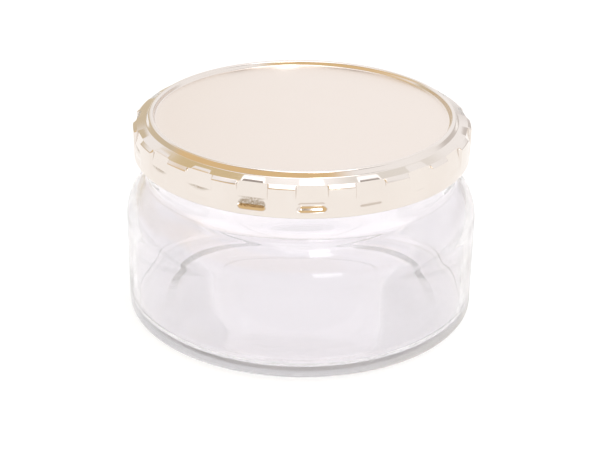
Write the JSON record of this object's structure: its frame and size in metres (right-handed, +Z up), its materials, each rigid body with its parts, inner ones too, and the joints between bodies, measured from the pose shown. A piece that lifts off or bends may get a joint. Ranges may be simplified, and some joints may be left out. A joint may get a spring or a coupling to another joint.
{
  "type": "mason jar",
  "caption": "Low wide-mouth glass storage jar with a rounded shoulder and a screw cap of gold-lacquered tinplate with a pressed panel skirt.",
  "frame": {"origin": "centre of the jar's base, on the surface it stands on", "axes": "+Z up along the axis of jar and cap; the front faces -Y"},
  "size_m": [0.0896, 0.0896, 0.0522],
  "materials": {
    "clear_glass": "clear pressed glass, glossy, with a faint violet tint in thick sections",
    "gold_tinplate": "tinplate under pale gold lacquer: glossy skirt and rim, satin middle",
    "sealing_compound": "off-white plastisol, satin"
  },
  "bodies": {
    "jar": {"glass_jar": "clear_glass"},
    "seal": {"sealing_ring": "sealing_compound"},
    "lid": {"lid_shell": "gold_tinplate"}
  },
  "joints": [
    {"name": "lid_rise", "type": "slide", "parent": "jar", "child": "seal", "axis": [0, 0, 1], "range_m": [0, 0.0127]},
    {"name": "lid_turn", "type": "hinge", "parent": "seal", "child": "lid", "pos_m": [0, 0, 0.047], "axis": [0, 0, 1], "range_deg": [0, 1080]}
  ],
  "couplings": [
    {"joint": "lid_rise", "follows": "lid_turn", "m_per_rad": 0.00067375}
  ]
}
